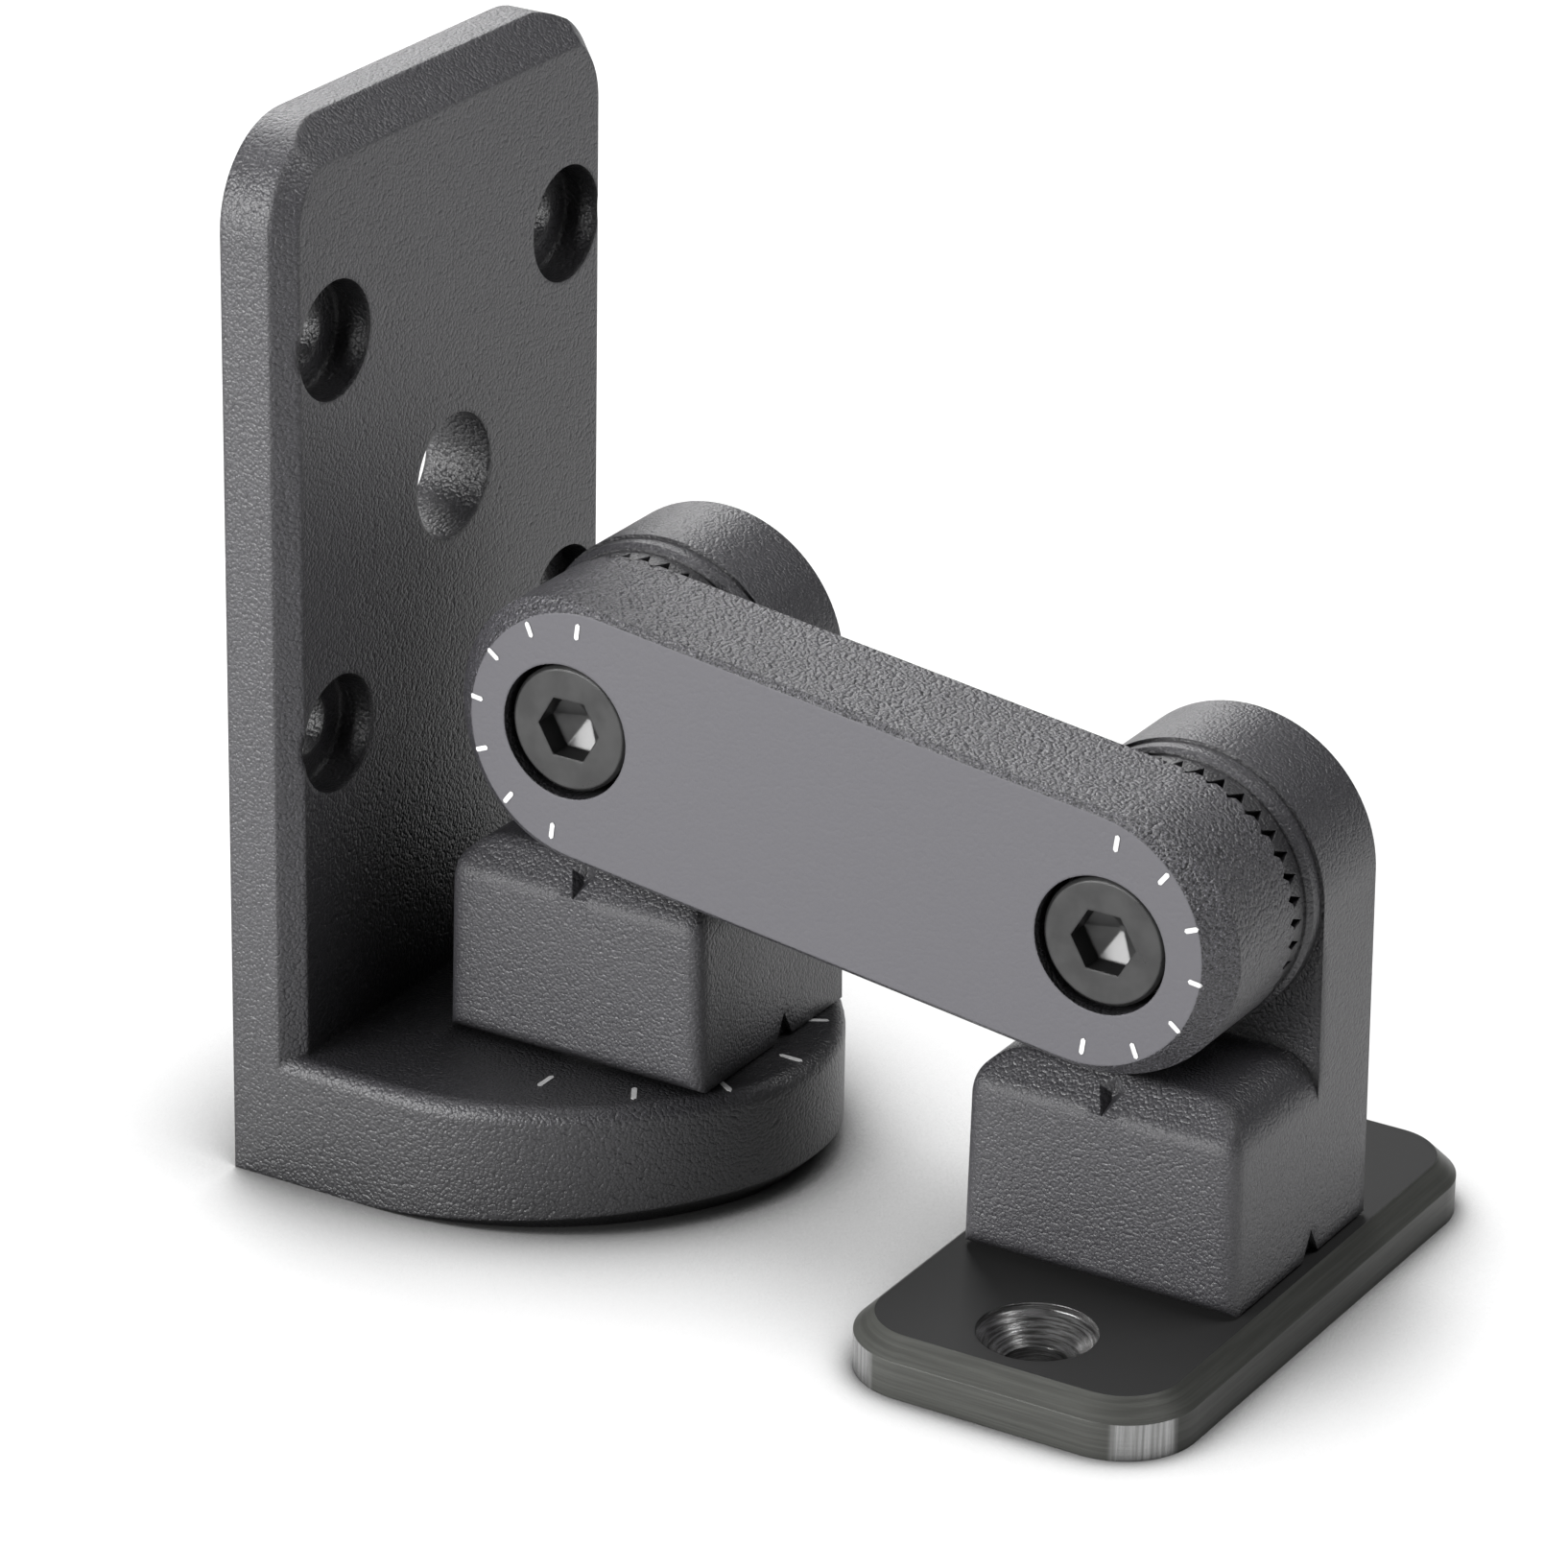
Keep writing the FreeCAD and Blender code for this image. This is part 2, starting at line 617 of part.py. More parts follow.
def socket(body, name, plane, lift):
    """Hexagon socket for the key, with a pointed floor."""
    sketch = new_sketch(body, name, plane, lift)
    hexagon(sketch, "socket_across")
    pocket(body, sketch, "socket_depth", back=True)
    floor = new_sketch(body, name + "_floor", plane, lift + " + socket_depth")
    hexagon(floor, "socket_across")
    point = pocket(body, floor, "socket_point", back=True)
    bind(point, "TaperAngle", "- socket_slope")
    return point


def make_tilt_screw(label, reach, rise):
    """Flat-headed socket screw that clamps the arm to an ear."""
    body = new_body(label)
    head = "- arm_front + head_set_back"
    under = head + " + head_height"
    turned(body, label + "_profile", "X_Axis", [
        (head, "0"), (head, "head_diameter / 2 - head_edge"), (head + " + head_edge", "head_diameter / 2"),
        (under, "head_diameter / 2"), (under, "thread / 2"),
        ("foot_length / 2 - head_edge * 2", "thread / 2"),
        ("foot_length / 2 - head_edge", "thread / 2 - head_edge"), ("foot_length / 2 - head_edge", "0")])
    body.Tip = socket(body, label + "_socket", "YZ_Plane", head)
    bind(body, "Placement.Base.y", reach)
    bind(body, "Placement.Base.z", rise)
    return body


def make_nut(label, reach, rise):
    """Hexagon nut let into the back of an ear."""
    body = new_body(label)
    sketch = new_sketch(body, label + "_hexagon", "YZ_Plane", "foot_length / 2")
    hexagon(sketch, "nut_across")
    disc(sketch, ("0", "0"), "thread / 2 + thread_play")
    pad(body, sketch, "nut_height", back=True)
    bind(body, "Placement.Base.y", reach)
    bind(body, "Placement.Base.z", rise)
    return body


def make_spring(label, reach, rise):
    """Release spring coiled round a tilt screw, which parts the teeth when it is loosened."""
    body = new_body(label)
    wire = new_sketch(body, label + "_wire", "XZ_Plane")
    floor = "- arm_front + arm_thickness - arm_well"
    room = "arm_well + tip_clearance + ear_well"
    disc(wire, (floor + " + spring_wire / 2 + spring_play", "spring_radius"), "spring_wire / 2")
    coil = body.newObject("PartDesign::AdditiveHelix", label + "_coil")
    coil.Profile = wire
    coil.ReferenceAxis = (origin_item(body, "X_Axis"), [""])
    coil.Mode = 2
    bind(coil, "Height", room + " - spring_wire - spring_play * 2")
    bind(coil, "Turns", "spring_turns")
    body.Tip = coil
    bind(body, "Placement.Base.y", reach)
    bind(body, "Placement.Base.z", rise)
    return body


def make_ring(label, inner, outer, low, high, reach, slit=None):
    """Flat ring about a swivel axis, split when a slit width is given."""
    body = new_body(label)
    tip = turned(body, label + "_profile", "Z_Axis", [(low, inner), (low, outer), (high, outer), (high, inner)])
    if slit:
        sketch = new_sketch(body, label + "_slit", "XY_Plane", low)
        polygon(sketch, [("0", "- " + slit + " / 2"), (outer, "- " + slit + " / 2"),
                         (outer, slit + " / 2"), ("0", slit + " / 2")])
        tip = pocket(body, sketch, "lock_height", back=True)
    body.Tip = tip
    bind(body, "Placement.Base.y", reach)
    bind(body, "Placement.Base.z", FLOOR)
    return body


def make_wall_swivel_screw():
    """Flat-headed socket screw up through the shelf into the yoke's foot."""
    body = new_body("wall_swivel_screw")
    under = "under_recess_depth - washer_height - lock_height"
    head = under + " - head_height"
    end = "shelf_thickness + disc_height - disc_seat + swivel_grip"
    turned(body, "wall_swivel_profile", "Z_Axis", [
        (head, "0"), (head, "head_diameter / 2 - head_edge"), (head + " + head_edge", "head_diameter / 2"),
        (under, "head_diameter / 2"), (under, "thread / 2"), (end + " - head_edge", "thread / 2"),
        (end, "thread / 2 - head_edge"), (end, "0")])
    body.Tip = socket(body, "wall_swivel_socket", "XY_Plane", head)
    bind(body, "Placement.Base.y", "- swivel_reach")
    bind(body, "Placement.Base.z", FLOOR)
    return body


def make_speaker_swivel_screw():
    """Countersunk socket screw up through the pad into the yoke's foot."""
    body = new_body("speaker_swivel_screw")
    end = "pad_thickness + disc_height - disc_seat + sink_grip"
    turned(body, "speaker_swivel_profile", "Z_Axis", [
        ("sink_set_back", "0"), ("sink_set_back", "sink_head / 2"), ("sink_set_back + sink_edge", "sink_head / 2"),
        ("sink_set_back + sink_edge + sink_head_height", "thread / 2"),
        (end + " - head_edge", "thread / 2"), (end, "thread / 2 - head_edge"), (end, "0")])
    body.Tip = socket(body, "speaker_swivel_socket", "XY_Plane", "sink_set_back")
    bind(body, "Placement.Base.y", SPEAKER_Y)
    bind(body, "Placement.Base.z", FLOOR)
    return body


WALL = ("- swivel_reach", AXIS_Z)
SPEAKER = (SPEAKER_Y, SPEAKER_Z)
PINCH = "thread / 2 + thread_play"

parts = [
    make_wall_plate(),
    make_yoke("wall_yoke", FLOOR + " + shelf_thickness + disc_height - disc_seat", WALL[0]),
    make_arm(),
    make_yoke("speaker_yoke", FLOOR + " + pad_thickness + disc_height - disc_seat", SPEAKER[0]),
    make_speaker_plate(),
    make_tilt_screw("wall_tilt_screw", *WALL),
    make_tilt_screw("speaker_tilt_screw", *SPEAKER),
    make_nut("wall_tilt_nut", *WALL),
    make_nut("speaker_tilt_nut", *SPEAKER),
    make_spring("wall_tilt_spring", *WALL),
    make_spring("speaker_tilt_spring", *SPEAKER),
    make_wall_swivel_screw(),
    make_ring("wall_swivel_washer", PINCH, "washer_outer / 2",
              "under_recess_depth - washer_height", "under_recess_depth", WALL[0]),
    make_ring("wall_swivel_lock_washer", PINCH, "lock_outer / 2",
              "under_recess_depth - washer_height - lock_height", "under_recess_depth - washer_height",
              WALL[0], slit="lock_gap"),
    make_ring("wall_swivel_disc", PINCH, "disc_outer / 2",
              "shelf_thickness", "shelf_thickness + disc_height", WALL[0]),
    make_speaker_swivel_screw(),
    make_ring("speaker_swivel_disc", PINCH, "disc_outer / 2",
              "pad_thickness", "pad_thickness + disc_height", SPEAKER[0]),
]

doc.recompute()
faults = [item.Name for item in doc.Objects if "Invalid" in item.State or "Error" in item.State]
faults += [item.Label for item in parts if item.Shape.isNull() or not item.Shape.isValid()]
if faults:
    raise RuntimeError("Unsound objects: " + ", ".join(faults))

os.makedirs("parts", exist_ok=True)
for item in parts:
    item.Shape.exportStep(os.path.join("parts", item.Label + ".step"))
    box = item.Shape.BoundBox
    print("%-24s %9.1f mm3  solids %d  z %.2f..%.2f" % (
        item.Label, item.Shape.Volume, len(item.Shape.Solids), box.ZMin, box.ZMax))
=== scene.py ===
import math

import bmesh
import bpy
from mathutils import Matrix, Vector
from mathutils.bvhtree import BVHTree


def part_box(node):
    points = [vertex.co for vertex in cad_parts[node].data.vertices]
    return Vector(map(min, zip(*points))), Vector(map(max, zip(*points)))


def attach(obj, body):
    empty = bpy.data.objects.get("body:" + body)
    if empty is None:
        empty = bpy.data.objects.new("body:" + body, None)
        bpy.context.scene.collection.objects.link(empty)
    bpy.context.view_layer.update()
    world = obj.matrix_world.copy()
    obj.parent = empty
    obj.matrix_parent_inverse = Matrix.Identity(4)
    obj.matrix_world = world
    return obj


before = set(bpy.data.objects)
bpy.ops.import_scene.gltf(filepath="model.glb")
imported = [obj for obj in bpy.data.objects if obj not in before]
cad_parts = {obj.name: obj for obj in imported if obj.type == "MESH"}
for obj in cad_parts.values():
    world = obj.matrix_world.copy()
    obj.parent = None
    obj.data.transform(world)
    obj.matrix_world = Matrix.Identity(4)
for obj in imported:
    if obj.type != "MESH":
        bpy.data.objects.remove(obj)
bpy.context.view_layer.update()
MM = 0.001

# Places shared with the solids, in metres
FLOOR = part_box("wall_plate")[0].z
SHELF_TOP = FLOOR + 13.5 * MM
SHELF_DIAL = Vector((-0.7 * MM, -30.5 * MM, SHELF_TOP))
WALL_AXIS = Vector((0, -30.6 * MM, -16.8 * MM))
SPEAKER_AXIS = Vector((0, -90.104 * MM, -24.5 * MM))
PAD_HOLE = (25 * MM, -SPEAKER_AXIS.y, 0)  # either hole, once signs are dropped
TEETH = (-0.5 * MM, 0, 0)  # middle of the two rings of teeth, along the tilt axis
ARM_ALONG = (SPEAKER_AXIS - WALL_AXIS).normalized()
ARM_UP = ARM_ALONG.cross(Vector((-1, 0, 0)))
ARM_FRONT = -15.35 * MM

# Bands round those places in which a look fades out, from full to nothing
HUB_BAND = (14.2 * MM, 15.5 * MM)
POINTER_BAND = (1.5 * MM, 1.9 * MM)
# The teeth band bounds the painted shade on a yoke's rings of teeth
TEETH_SHADE_BAND = (1.3 * MM, 1.5 * MM)
HOLE_BAND = (6.2 * MM, 6.4 * MM)

# Finish: edge radius of a yoke's machined hub and pointer, tint of the coat, sides of the pad
CRISP_EDGE = 0.18 * MM
COAT_TINT = (0.99, 0.965, 1.08)
PAD_SIDE_DARK = (0.06, 0.061, 0.056, 1)
PAD_SIDE_LIGHT = (0.083, 0.085, 0.078, 1)

# Printed marks
INK_REACH = 50 * MM  # how far out the search for the solid's surface starts
INK_THICK = 0.06 * MM
INK_LIFT = 0.035 * MM
STEPS_ALONG = 10
STEPS_ACROSS = 6
TIP_SHARE = 0.001  # of a stroke's width, left at its tips
INSET_FALL = 1.4  # how fast the inset fades away from the arm's length
INSET_NEAR = 0.6  # of the inset, taken off a stroke's near end

# View of the photograph: angles in degrees, place and sensor in millimetres, clipping in
# metres, the rest in pixels
CAMERA_TURN, CAMERA_TILT, CAMERA_ROLL = -59.37, 23.68, 1.05
CAMERA_PLACE = (-542.74, -368.41, 252.63)
PICTURE_WIDTH = 1634
FOCAL_LENGTH = 7316.5
MIDDLE_SHIFT = -6.2
SENSOR = 36
CLIP_NEAR, CLIP_FAR = 0.05, 20

# Studio lamps: name, place, aim, size in metres and power in watts
MIDDLE = (0, -0.05, -0.02)
LAMPS = (
    ("left_box", (-1.1, 0.45, 0.3), MIDDLE, (1.0, 0.5), 24),
    ("rear_box", (0.75, 0.75, 0.55), MIDDLE, (0.9, 0.5), 9),
    ("top_box", (0.15, 0.25, 1.1), MIDDLE, (0.5, 0.5), 7),
    ("front_box", (0.1, -1.0, 0.75), MIDDLE, (0.4, 0.4), 0.25),
    ("near_box", (0.06, -0.2, 0.25), (0, -0.01, 0), (0.14, 0.14), 0.5),
)
WALL_COLOUR = (0.97, 0.98, 1.0, 1)
WALL_GLOW = 0.075

# Studio floor
FLOOR_REACH = 6
FLOOR_GAP = 0.02 * MM
FLOOR_GLOW = 0.62
# Painted shadow round the object: how far it reaches and which way it leans
PAINTED_SHADOW_REACH = 30 * MM
PAINTED_SHADOW_LEAN = Vector((0.8, 0.25, 0.55)).normalized()


class Shader:
    """Small helper to build one node material."""

    def __init__(self, name):
        self.material = bpy.data.materials.new(name)
        self.material.use_nodes = True
        self.tree = self.material.node_tree
        self.tree.nodes.clear()
        self.out = self.add("ShaderNodeOutputMaterial")
        self.surface = self.add("ShaderNodeBsdfPrincipled")
        self.join(self.surface.outputs[0], self.out.inputs["Surface"])
        coordinates = self.add("ShaderNodeTexCoord")
        self.place = coordinates.outputs["Object"]
        self.normal = coordinates.outputs["Normal"]

    def add(self, kind, **settings):
        node = self.tree.nodes.new(kind)
        for name, value in settings.items():
            setattr(node, name, value)
        return node

    def join(self, output, socket):
        self.tree.links.new(output, socket)

    def feed(self, socket, value):
        """Link a socket to an output, or set it to a number, colour or vector."""
        if isinstance(value, bpy.types.NodeSocket):
            self.join(value, socket)
        else:
            socket.default_value = value

    def set(self, **values):
        """Feed sockets of the surface, named with _ for a space."""
        for name, value in values.items():
            self.feed(self.surface.inputs[name.replace("_", " ")], value)

    def noise(self, scale, detail=3.0, rough=0.55, stretch=None, output="Fac"):
        """Noise over the object, stretched by a factor for each direction."""
        place = self.place
        if stretch is not None:
            mapping = self.add("ShaderNodeMapping")
            mapping.inputs["Scale"].default_value = stretch
            self.join(place, mapping.inputs["Vector"])
            place = mapping.outputs["Vector"]
        node = self.add("ShaderNodeTexNoise")
        node.inputs["Scale"].default_value = scale
        node.inputs["Detail"].default_value = detail
        node.inputs["Roughness"].default_value = rough
        self.join(place, node.inputs["Vector"])
        return node.outputs[output]

    def cells(self, scale, place):
        """Distance from the middle of the nearest cell."""
        node = self.add("ShaderNodeTexVoronoi", feature="F1")
        node.inputs["Scale"].default_value = scale
        self.join(place, node.inputs["Vector"])
        return node.outputs["Distance"]

    def maths(self, kind, a, b=None):
        """Sum on numbers: each an output or a constant."""
        node = self.add("ShaderNodeMath", operation=kind)
        self.feed(node.inputs[0], a)
        if b is not None:
            self.feed(node.inputs[1], b)
        return node.outputs[0]

    def times(self, a, b):
        return self.maths("MULTIPLY", a, b)

    def plus(self, a, b):
        return self.maths("ADD", a, b)

    def most(self, a, b):
        return self.maths("MAXIMUM", a, b)

    def vector(self, kind, a, b=None, output="Vector"):
        """Sum on vectors: each an output or a constant."""
        node = self.add("ShaderNodeVectorMath", operation=kind)
        self.feed(node.inputs[0], a)
        if b is not None:
            self.feed(node.inputs[1], b)
        return node.outputs[output]

    def span(self, value, low, high, to_low=0.0, to_high=1.0):
        """Smooth step from one number to another as a value goes from low to high."""
        node = self.add("ShaderNodeMapRange", interpolation_type="SMOOTHSTEP")
        self.feed(node.inputs["Value"], value)
        node.inputs["From Min"].default_value = low
        node.inputs["From Max"].default_value = high
        node.inputs["To Min"].default_value = to_low
        node.inputs["To Max"].default_value = to_high
        return node.outputs["Result"]

    def near(self, spot, used, band, place=None):
        """1 near a spot and 0 beyond a band, measured along the directions in use only."""
        flat = self.vector("MULTIPLY", self.place if place is None else place, used)
        spot = [use * part for use, part in zip(used, spot)]
        away = self.vector("DISTANCE", flat, spot, "Value")
        return self.span(away, *band, 1.0, 0.0)

    def mix(self, amount, a, b):
        """Blend of two colours by an amount from 0 to 1."""
        node = self.add("ShaderNodeMix", data_type="RGBA")
        self.feed(node.inputs[0], amount)
        self.feed(node.inputs[6], a)
        self.feed(node.inputs[7], b)
        return node.outputs[2]

    def blend(self, amount, a, b):
        """Blend of two numbers by an amount from 0 to 1."""
        node = self.add("ShaderNodeMix", data_type="FLOAT")
        self.feed(node.inputs[0], amount)
        self.feed(node.inputs[2], a)
        self.feed(node.inputs[3], b)
        return node.outputs[0]

    def rounded(self, radius):
        """Normal that softens edges of the solid by a small radius."""
        node = self.add("ShaderNodeBevel", samples=3)
        self.feed(node.inputs["Radius"], radius)
        return node.outputs["Normal"]

    def bump(self, height, distance, normal=None):
        """Normal over a height, on top of another normal where one is given."""
        node = self.add("ShaderNodeBump")
        node.inputs["Distance"].default_value = distance
        self.join(height, node.inputs["Height"])
        if normal is not None:
            self.join(normal, node.inputs["Normal"])
        return node.outputs["Normal"]

    def opening(self, distance, samples, normal=None):
        """How open the space over the surface is, from 0 in a corner to 1."""
        node = self.add("ShaderNodeAmbientOcclusion", samples=samples)
        node.inputs["Distance"].default_value = distance
        if normal is not None:
            node.inputs["Normal"].default_value = normal
        return node.outputs["AO"]


def grey(level, warm=0.0):
    """Neutral colour, a little warm or cool."""
    return (level * (1 + warm), level, level * (1 - warm), 1)


def charcoal(level):
    """Grey of the coat, a touch violet."""
    return (*(level * part for part in COAT_TINT), 1)


def pebbled(shader, grain, swell):
    """Height of a coat of rounded pebbles of uneven size, and the fine grain in it."""
    sway = shader.noise(grain * 0.6, 0.0, output="Color")
    moved = shader.vector("ADD", shader.place,
                          shader.vector("MULTIPLY", sway, [0.8 / grain] * 3))
    away = shader.cells(grain, moved)
    domes = shader.times(shader.times(away, away), -1.3)
    fine = shader.noise(grain * 2.4, 2.0, 0.6)
    waves = shader.noise(grain * 0.33, 2.0)
    height = shader.plus(domes, shader.times(fine, 0.65))
    return shader.plus(height, shader.times(waves, swell)), fine


def powder_coat(name, level, grain, depth, edge, swell, painted_glint, painted_grain_shading,
                shade=3 * MM, axis=None, lit_front_level=None):
    """Textured black powder coat on a casting: pebbles, bright painted glints and painted shade in
    the corners.

    level: tone of the coat; painted_grain_shading: how much its grains differ in tone, as painted
    light and shade of their relief
    grain: pebbles in a metre; depth: their height; swell: share of slower waves in it
    edge: radius of the casting's edges; painted_glint: strength of the bright painted glints
    shade: how far out of a corner the painted shade reaches
    axis: where a yoke has its machined hub and painted shade on its teeth; lit_front_level: tone
    of the smoother front face, painted lighter as if lit
    """
    shader = Shader(name)
    height, fine = pebbled(shader, grain, swell)
    rough = shader.span(fine, 0.35, 0.65, 0.34, 0.44)
    # Painted light and shade of the fine grain: lighter and darker by the same noise as its relief
    tone = shader.mix(shader.span(fine, 0.38, 0.62),
                      charcoal(level * (1 - painted_grain_shading)), charcoal(level * (1 + painted_grain_shading)))
    clouds = shader.span(shader.noise(70, 3.0), 0.3, 0.7, 0.0, 0.2)
    tone = shader.mix(clouds, tone, charcoal(level * 0.6))
    # Painted glints: small spots of the colour made much lighter
    specks = shader.span(shader.noise(grain * 1.9, 1.0, 0.5), 0.63, 0.72)
    tone = shader.mix(shader.times(specks, painted_glint), tone, charcoal(level * 6))
    # The front face is smoother, and its colour is painted lighter as if lit
    if lit_front_level is not None:
        facing = shader.vector("DOT_PRODUCT", shader.normal, (-1, 0, 0), "Value")
        front = shader.span(facing, 0.93, 0.985)
        height = shader.times(height, shader.span(front, 0, 1, 1.0, 0.08))
        tone = shader.mix(front, tone, charcoal(lit_front_level))
        rough = shader.plus(rough, shader.span(front, 0, 1, 0.0, 0.07))
    # Painted shade: the colour darkens in corners, creases and hollows
    clear = shader.span(shader.opening(shade, 3), 0.35, 0.95)
    tone = shader.mix(clear, charcoal(level * 0.15), tone)
    if axis is not None:
        hub = shader.near(axis, (0, 1, 1), HUB_BAND)
        pointer = shader.near(axis, (0, 1, 0), POINTER_BAND)
        # Painted shade on the rings of teeth round the hub
        teeth = shader.near(TEETH, (1, 0, 0), TEETH_SHADE_BAND)
        tone = shader.mix(shader.times(teeth, hub), tone, charcoal(level * 0.5))
        edge = shader.span(shader.most(hub, pointer), 0, 1, edge, CRISP_EDGE)
    shader.set(Base_Color=tone, IOR=1.62, Roughness=rough,
               Normal=shader.bump(height, depth, shader.rounded(edge)))
    return shader.material


def black_oxide(name):
    """Smooth blackened steel with an uneven oily smear."""
    shader = Shader(name)
    fine = shader.noise(3000, 2.0)
    smear = shader.noise(260, 3.0)
    tone = shader.mix(shader.span(smear, 0.35, 0.65), grey(0.045), grey(0.06))
    shader.set(Base_Color=tone, Metallic=0.55, IOR=1.6,
               Roughness=shader.span(smear, 0.3, 0.7, 0.27, 0.36),
               Normal=shader.bump(fine, 0.004 * MM, shader.rounded(0.3 * MM)))
    return shader.material


def plated(name, level, rough):
    """Zinc plate or drawn steel: bright, with a fine uneven lustre."""
    shader = Shader(name)
    fine = shader.noise(2400, 3.0)
    smear = shader.noise(300, 3.0)
    tone = shader.mix(smear, grey(level * 0.8, 0.02), grey(level * 1.1, -0.02))
    shader.set(Base_Color=tone, Metallic=1.0,
               Roughness=shader.span(smear, 0.3, 0.7, rough * 0.8, rough * 1.25),
               Normal=shader.bump(fine, 0.006 * MM, shader.rounded(0.12 * MM)))
    return shader.material


def anodised(name):
    """Black anodised pad: matt flats, cutter marks on the sides, polished corners with a painted
    highlight, bright holes.
    """
    shader = Shader(name)
    along = shader.noise(1.0, 4.0, 0.65, (60, 60, 3000))
    upright = shader.noise(1.0, 3.0, 0.6, (2300, 2300, 60))
    turned = shader.noise(1.0, 3.0, 0.6, (250, 250, 5200))
    fine = shader.noise(2600, 2.0)

    facing = shader.add("ShaderNodeSeparateXYZ")
    shader.join(shader.normal, facing.inputs[0])
    flat = shader.span(shader.maths("ABSOLUTE", facing.outputs["Z"]), 0.92, 0.99)
    steep = shader.span(flat, 0, 1, 1.0, 0.0)
    slant = shader.maths("ABSOLUTE", shader.times(facing.outputs["X"], facing.outputs["Y"]))
    corner = shader.span(slant, 0.3, 0.4)
    folded = shader.vector("ABSOLUTE", shader.place)
    sink = shader.times(shader.near(PAD_HOLE, (1, 1, 0), HOLE_BAND, folded), steep)
    polish = shader.most(sink, shader.times(corner, steep))

    side = shader.mix(shader.span(along, 0.35, 0.7), PAD_SIDE_DARK, PAD_SIDE_LIGHT)
    # Painted highlight: the rounded corners' colour is made light grey in upright streaks
    bright = shader.times(corner, shader.span(upright, 0.25, 0.75, 0.35, 1.0))
    tone = shader.mix(flat, shader.mix(bright, side, grey(0.4)), grey(0.024))
    cut = shader.mix(shader.span(turned, 0.35, 0.65), grey(0.1, 0.02), grey(0.4))
    tone = shader.mix(sink, tone, cut)

    height = shader.plus(shader.times(along, steep), shader.times(fine, 0.3))
    chatter = shader.times(upright, shader.span(corner, 0, 1, 0.0, 0.5))
    height = shader.plus(height, chatter)
    shader.set(Base_Color=tone, Metallic=shader.span(polish, 0, 1, 0.3, 0.9), IOR=1.4,
               Roughness=shader.blend(polish, shader.span(flat, 0, 1, 0.4, 0.7), 0.27),
               Normal=shader.bump(height, 0.025 * MM, shader.rounded(0.18 * MM)))
    return shader.material


def nylon(name):
    """Black moulded nylon with a soft, slightly uneven sheen."""
    shader = Shader(name)
    fine = shader.noise(900, 3.0)
    shader.set(Base_Color=shader.mix(fine, grey(0.02), grey(0.035)),
               Roughness=shader.span(fine, 0.3, 0.7, 0.4, 0.55),
               Normal=shader.bump(fine, 0.01 * MM, shader.rounded(0.15 * MM)))
    return shader.material


def print_paint(name, level):
    """Pad-printed marks: slightly uneven white or grey ink."""
    shader = Shader(name)
    fine = shader.noise(2600, 2.0)
    tone = shader.mix(shader.span(fine, 0.3, 0.7), grey(level * 0.86), grey(level))
    shader.set(Base_Color=tone, Roughness=shader.span(fine, 0.3, 0.7, 0.5, 0.7),
               Normal=shader.bump(fine, 0.01 * MM))
    return shader.material


def stroke_outline(length, width):
    """Points over a stroke with rounded ends: places along it, each with offsets across."""
    half = width / 2
    columns = []
    for step in range(STEPS_ALONG + 1):
        at = length * step / STEPS_ALONG
        short = max(half - min(at, length - at), 0)
        reach = math.sqrt(max(half ** 2 - short ** 2, 0))
        reach = reach * (1 - TIP_SHARE) + half * TIP_SHARE
        columns.append((at, [reach * (2 * i / STEPS_ACROSS - 1)
                             for i in range(STEPS_ACROSS + 1)]))
    return columns


def print_strokes(name, strokes, node, toward, material, body):
    """Lay ink on a solid's surface; each stroke is start, direction, side, length and width."""
    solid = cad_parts[node]
    tree = BVHTree.FromPolygons([v.co for v in solid.data.vertices],
                                [tuple(p.vertices) for p in solid.data.polygons])
    mesh = bmesh.new()
    for start, direction, side, length, width in strokes:
        rows = []
        for at, offsets in stroke_outline(length, width):
            row = []
            for offset in offsets:
                point = start + direction * at + side * offset
                hit = tree.ray_cast(point - toward * INK_REACH, toward)[0] or point
                row.append(mesh.verts.new(hit - toward * INK_LIFT))
            rows.append(row)
        for one, two in zip(rows, rows[1:]):
            for i in range(STEPS_ACROSS):
                mesh.faces.new((one[i], one[i + 1], two[i + 1], two[i]))
    bmesh.ops.recalc_face_normals(mesh, faces=mesh.faces)
    data = bpy.data.meshes.new(name)
    mesh.to_mesh(data)
    mesh.free()
    item = bpy.data.objects.new(name, data)
    bpy.context.scene.collection.objects.link(item)
    thick = item.modifiers.new("thickness", "SOLIDIFY")
    thick.thickness = INK_THICK
    thick.offset = 0
    data.materials.append(material)
    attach(item, body)


def radial_strokes(centre, zero, quarter, degrees, near, far, width, inset=0.0):
    """Strokes that radiate from a centre, moved inward where they lie along the zero direction."""
    strokes = []
    for angle in degrees:
        turn = math.radians(angle)
        out = zero * math.cos(turn) + quarter * math.sin(turn)
        side = quarter * math.cos(turn) - zero * math.sin(turn)
        pull = inset * abs(math.cos(turn)) ** INSET_FALL
        start = near - pull * INSET_NEAR
        strokes.append((centre + out * start, out, side, far - pull - start, width))
    return strokes


